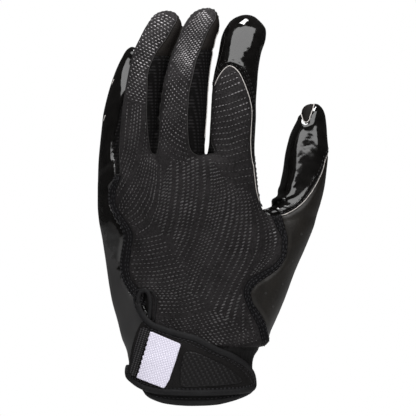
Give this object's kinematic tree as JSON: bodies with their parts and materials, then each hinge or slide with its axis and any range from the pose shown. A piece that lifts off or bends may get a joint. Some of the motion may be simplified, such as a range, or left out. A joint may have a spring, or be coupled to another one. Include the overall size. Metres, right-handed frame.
{
  "type": "receiver glove",
  "caption": "Close-fitting left-hand sports glove with a glossy grip palm, textured knit back, ribbed finger sides and a wrap-over wrist strap, shown filled.",
  "frame": {"origin": "centre of the wrist opening, at the level of the lowest point of the hem", "axes": "+Z from the wrist opening to the fingertips, -Y out of the back of the hand, +X towards the thumb"},
  "size_m": [0.1272, 0.0557, 0.2185],
  "materials": {
    "grip_film": "glossy tacky grip film, black with a brown cast",
    "back_knit": "matte charcoal knit with fine raised dashes",
    "band": "satin stitched band",
    "mesh": "matte ribbed mesh",
    "smooth_knit": "smooth matte knit",
    "side_film": "smooth satin side panel",
    "cuff_knit": "matte elastic knit",
    "binding": "padded folded binding",
    "strap_fabric": "matte coated strap",
    "patch_weave": "white ribbed weave",
    "pad_rubber": "matte dotted rubber",
    "hook": "black ribbed edge"
  },
  "bodies": {
    "root": {"palm": "grip_film", "hand_back": "back_knit", "seam_band_outer": "band", "seam_band_inner": "band", "fourchette_little_ring": "mesh", "fourchette_ring_middle": "mesh", "fourchette_middle_index": "mesh", "tip_side_ring": "smooth_knit", "tip_side_middle": "smooth_knit", "thumb": "grip_film", "thumb_patch": "smooth_knit", "thumb_panel": "side_film", "cuff": "cuff_knit", "cuff_binding": "binding", "strap": "strap_fabric", "strap_binding": "binding", "strap_patch": "patch_weave", "strap_pad": "pad_rubber", "hook_edge": "hook", "slit_binding": "binding"}
  },
  "joints": []
}
